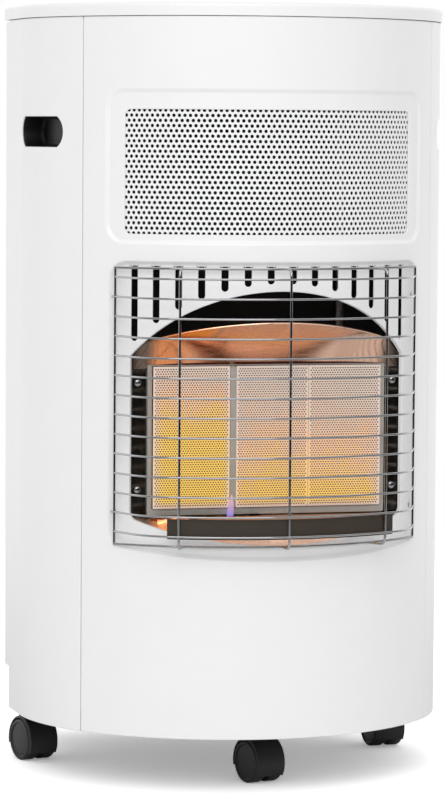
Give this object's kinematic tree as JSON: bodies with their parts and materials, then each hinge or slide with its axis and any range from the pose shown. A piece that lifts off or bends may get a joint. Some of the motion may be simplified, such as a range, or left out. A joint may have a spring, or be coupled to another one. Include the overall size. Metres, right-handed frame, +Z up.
{
  "type": "portable gas cabinet heater",
  "caption": "White bow-fronted cabinet heater on twin-wheel castors, with ceramic radiant plaques in an arched opening behind a chrome wire guard and a vent grille above.",
  "frame": {"origin": "on the floor under the middle of the bounding box", "axes": "+X to the heater's right as seen from the front, +Y to the rear, +Z up; the bowed front faces -Y"},
  "size_m": [0.411, 0.4363, 0.73],
  "materials": {
    "white_paint": "smooth gloss powder coat",
    "galvanised_steel": "matt galvanised",
    "zinc_steel": "bright zinc plate",
    "satin_steel": "satin",
    "polished_steel": "polished",
    "chrome": "bright plated wire",
    "heat_tinted_steel": "dark heat-tinted satin",
    "ceramic": "matt, glowing orange in use",
    "porcelain": "glazed",
    "brass": "plain machined",
    "black_plastic": "satin moulded",
    "castor_plastic": "satin moulded nylon",
    "red_plastic": "moulded"
  },
  "bodies": {
    "cabinet": {"front_panel": "white_paint", "side_panel_left": "white_paint", "side_panel_right": "white_paint", "top_lid": "white_paint", "rear_rail": "white_paint", "vent_mesh": "white_paint", "base_tray": "galvanised_steel", "heat_shield": "galvanised_steel", "burner_housing": "galvanised_steel", "gas_pipe": "galvanised_steel", "hand_grip_left": "black_plastic", "hand_grip_right": "black_plastic", "control_bezel": "black_plastic", "igniter_body": "black_plastic", "burner_plaque_left": "ceramic", "burner_plaque_centre": "ceramic", "burner_plaque_right": "ceramic", "plaque_frame": "satin_steel", "plaque_divider": "satin_steel", "reflector_hood": "polished_steel", "base_reflector": "polished_steel", "side_reflector_left": "polished_steel", "side_reflector_right": "polished_steel", "wire_guard": "chrome", "reflector_screw_upper_left": "chrome", "reflector_screw_lower_left": "chrome", "reflector_screw_upper_right": "chrome", "reflector_screw_lower_right": "chrome", "pilot_burner": "brass", "thermocouple": "brass", "gas_valve_body": "brass", "hose_inlet": "brass", "gas_manifold": "brass", "spark_electrode": "porcelain", "guard_deflector": "heat_tinted_steel", "castor_front_stem": "zinc_steel", "castor_left_stem": "zinc_steel", "castor_right_stem": "zinc_steel"},
    "rear_cover": {"rear_cover": "white_paint"},
    "valve_spindle": {"valve_spindle": "satin_steel", "valve_plug": "brass"},
    "control_knob": {"control_knob": "black_plastic"},
    "igniter_button": {"igniter_button": "red_plastic"},
    "castor_front_swivel": {"castor_front_hood": "castor_plastic", "castor_front_axle": "zinc_steel"},
    "castor_front_wheel_left": {"castor_front_wheel_left": "castor_plastic"},
    "castor_front_wheel_right": {"castor_front_wheel_right": "castor_plastic"},
    "castor_left_swivel": {"castor_left_hood": "castor_plastic", "castor_left_axle": "zinc_steel"},
    "castor_left_wheel_left": {"castor_left_wheel_left": "castor_plastic"},
    "castor_left_wheel_right": {"castor_left_wheel_right": "castor_plastic"},
    "castor_right_swivel": {"castor_right_hood": "castor_plastic", "castor_right_axle": "zinc_steel"},
    "castor_right_wheel_left": {"castor_right_wheel_left": "castor_plastic"},
    "castor_right_wheel_right": {"castor_right_wheel_right": "castor_plastic"}
  },
  "joints": [
    {"name": "rear_cover_lift_off", "type": "slide", "parent": "cabinet", "child": "rear_cover", "axis": [0, 1, 0], "range_m": [0, 0.12]},
    {"name": "control_knob_turn", "type": "hinge", "parent": "cabinet", "child": "valve_spindle", "pos_m": [0.082, 0.01825, 0.705], "axis": [0, 0, -1], "range_deg": [0, 240]},
    {"name": "control_knob_press", "type": "slide", "parent": "valve_spindle", "child": "control_knob", "axis": [0, 0, -1], "range_m": [0, 0.004], "stiffness_N_per_m": 900, "springref_m": -0.003},
    {"name": "igniter_press", "type": "slide", "parent": "cabinet", "child": "igniter_button", "axis": [0, 0, -1], "range_m": [0, 0.006], "stiffness_N_per_m": 1200, "springref_m": -0.002},
    {"name": "castor_front_swivel", "type": "hinge", "parent": "cabinet", "child": "castor_front_swivel", "pos_m": [0, -0.09375, 0.045], "axis": [0, 0, 1], "continuous": true},
    {"name": "castor_front_roll_left", "type": "hinge", "parent": "castor_front_swivel", "child": "castor_front_wheel_left", "pos_m": [0.00386, -0.10721, 0.02], "axis": [0.9613, 0.2756, 0], "continuous": true},
    {"name": "castor_front_roll_right", "type": "hinge", "parent": "castor_front_swivel", "child": "castor_front_wheel_right", "pos_m": [0.00386, -0.10721, 0.02], "axis": [0.9613, 0.2756, 0], "continuous": true},
    {"name": "castor_left_swivel", "type": "hinge", "parent": "cabinet", "child": "castor_left_swivel", "pos_m": [-0.18, 0.07825, 0.045], "axis": [0, 0, 1], "continuous": true},
    {"name": "castor_left_roll_left", "type": "hinge", "parent": "castor_left_swivel", "child": "castor_left_wheel_left", "pos_m": [-0.17614, 0.06479, 0.02], "axis": [0.9613, 0.2756, 0], "continuous": true},
    {"name": "castor_left_roll_right", "type": "hinge", "parent": "castor_left_swivel", "child": "castor_left_wheel_right", "pos_m": [-0.17614, 0.06479, 0.02], "axis": [0.9613, 0.2756, 0], "continuous": true},
    {"name": "castor_right_swivel", "type": "hinge", "parent": "cabinet", "child": "castor_right_swivel", "pos_m": [0.18, 0.07825, 0.045], "axis": [0, 0, 1], "continuous": true},
    {"name": "castor_right_roll_left", "type": "hinge", "parent": "castor_right_swivel", "child": "castor_right_wheel_left", "pos_m": [0.18146, 0.06433, 0.02], "axis": [0.9945, 0.1045, 0], "continuous": true},
    {"name": "castor_right_roll_right", "type": "hinge", "parent": "castor_right_swivel", "child": "castor_right_wheel_right", "pos_m": [0.18146, 0.06433, 0.02], "axis": [0.9945, 0.1045, 0], "continuous": true}
  ]
}
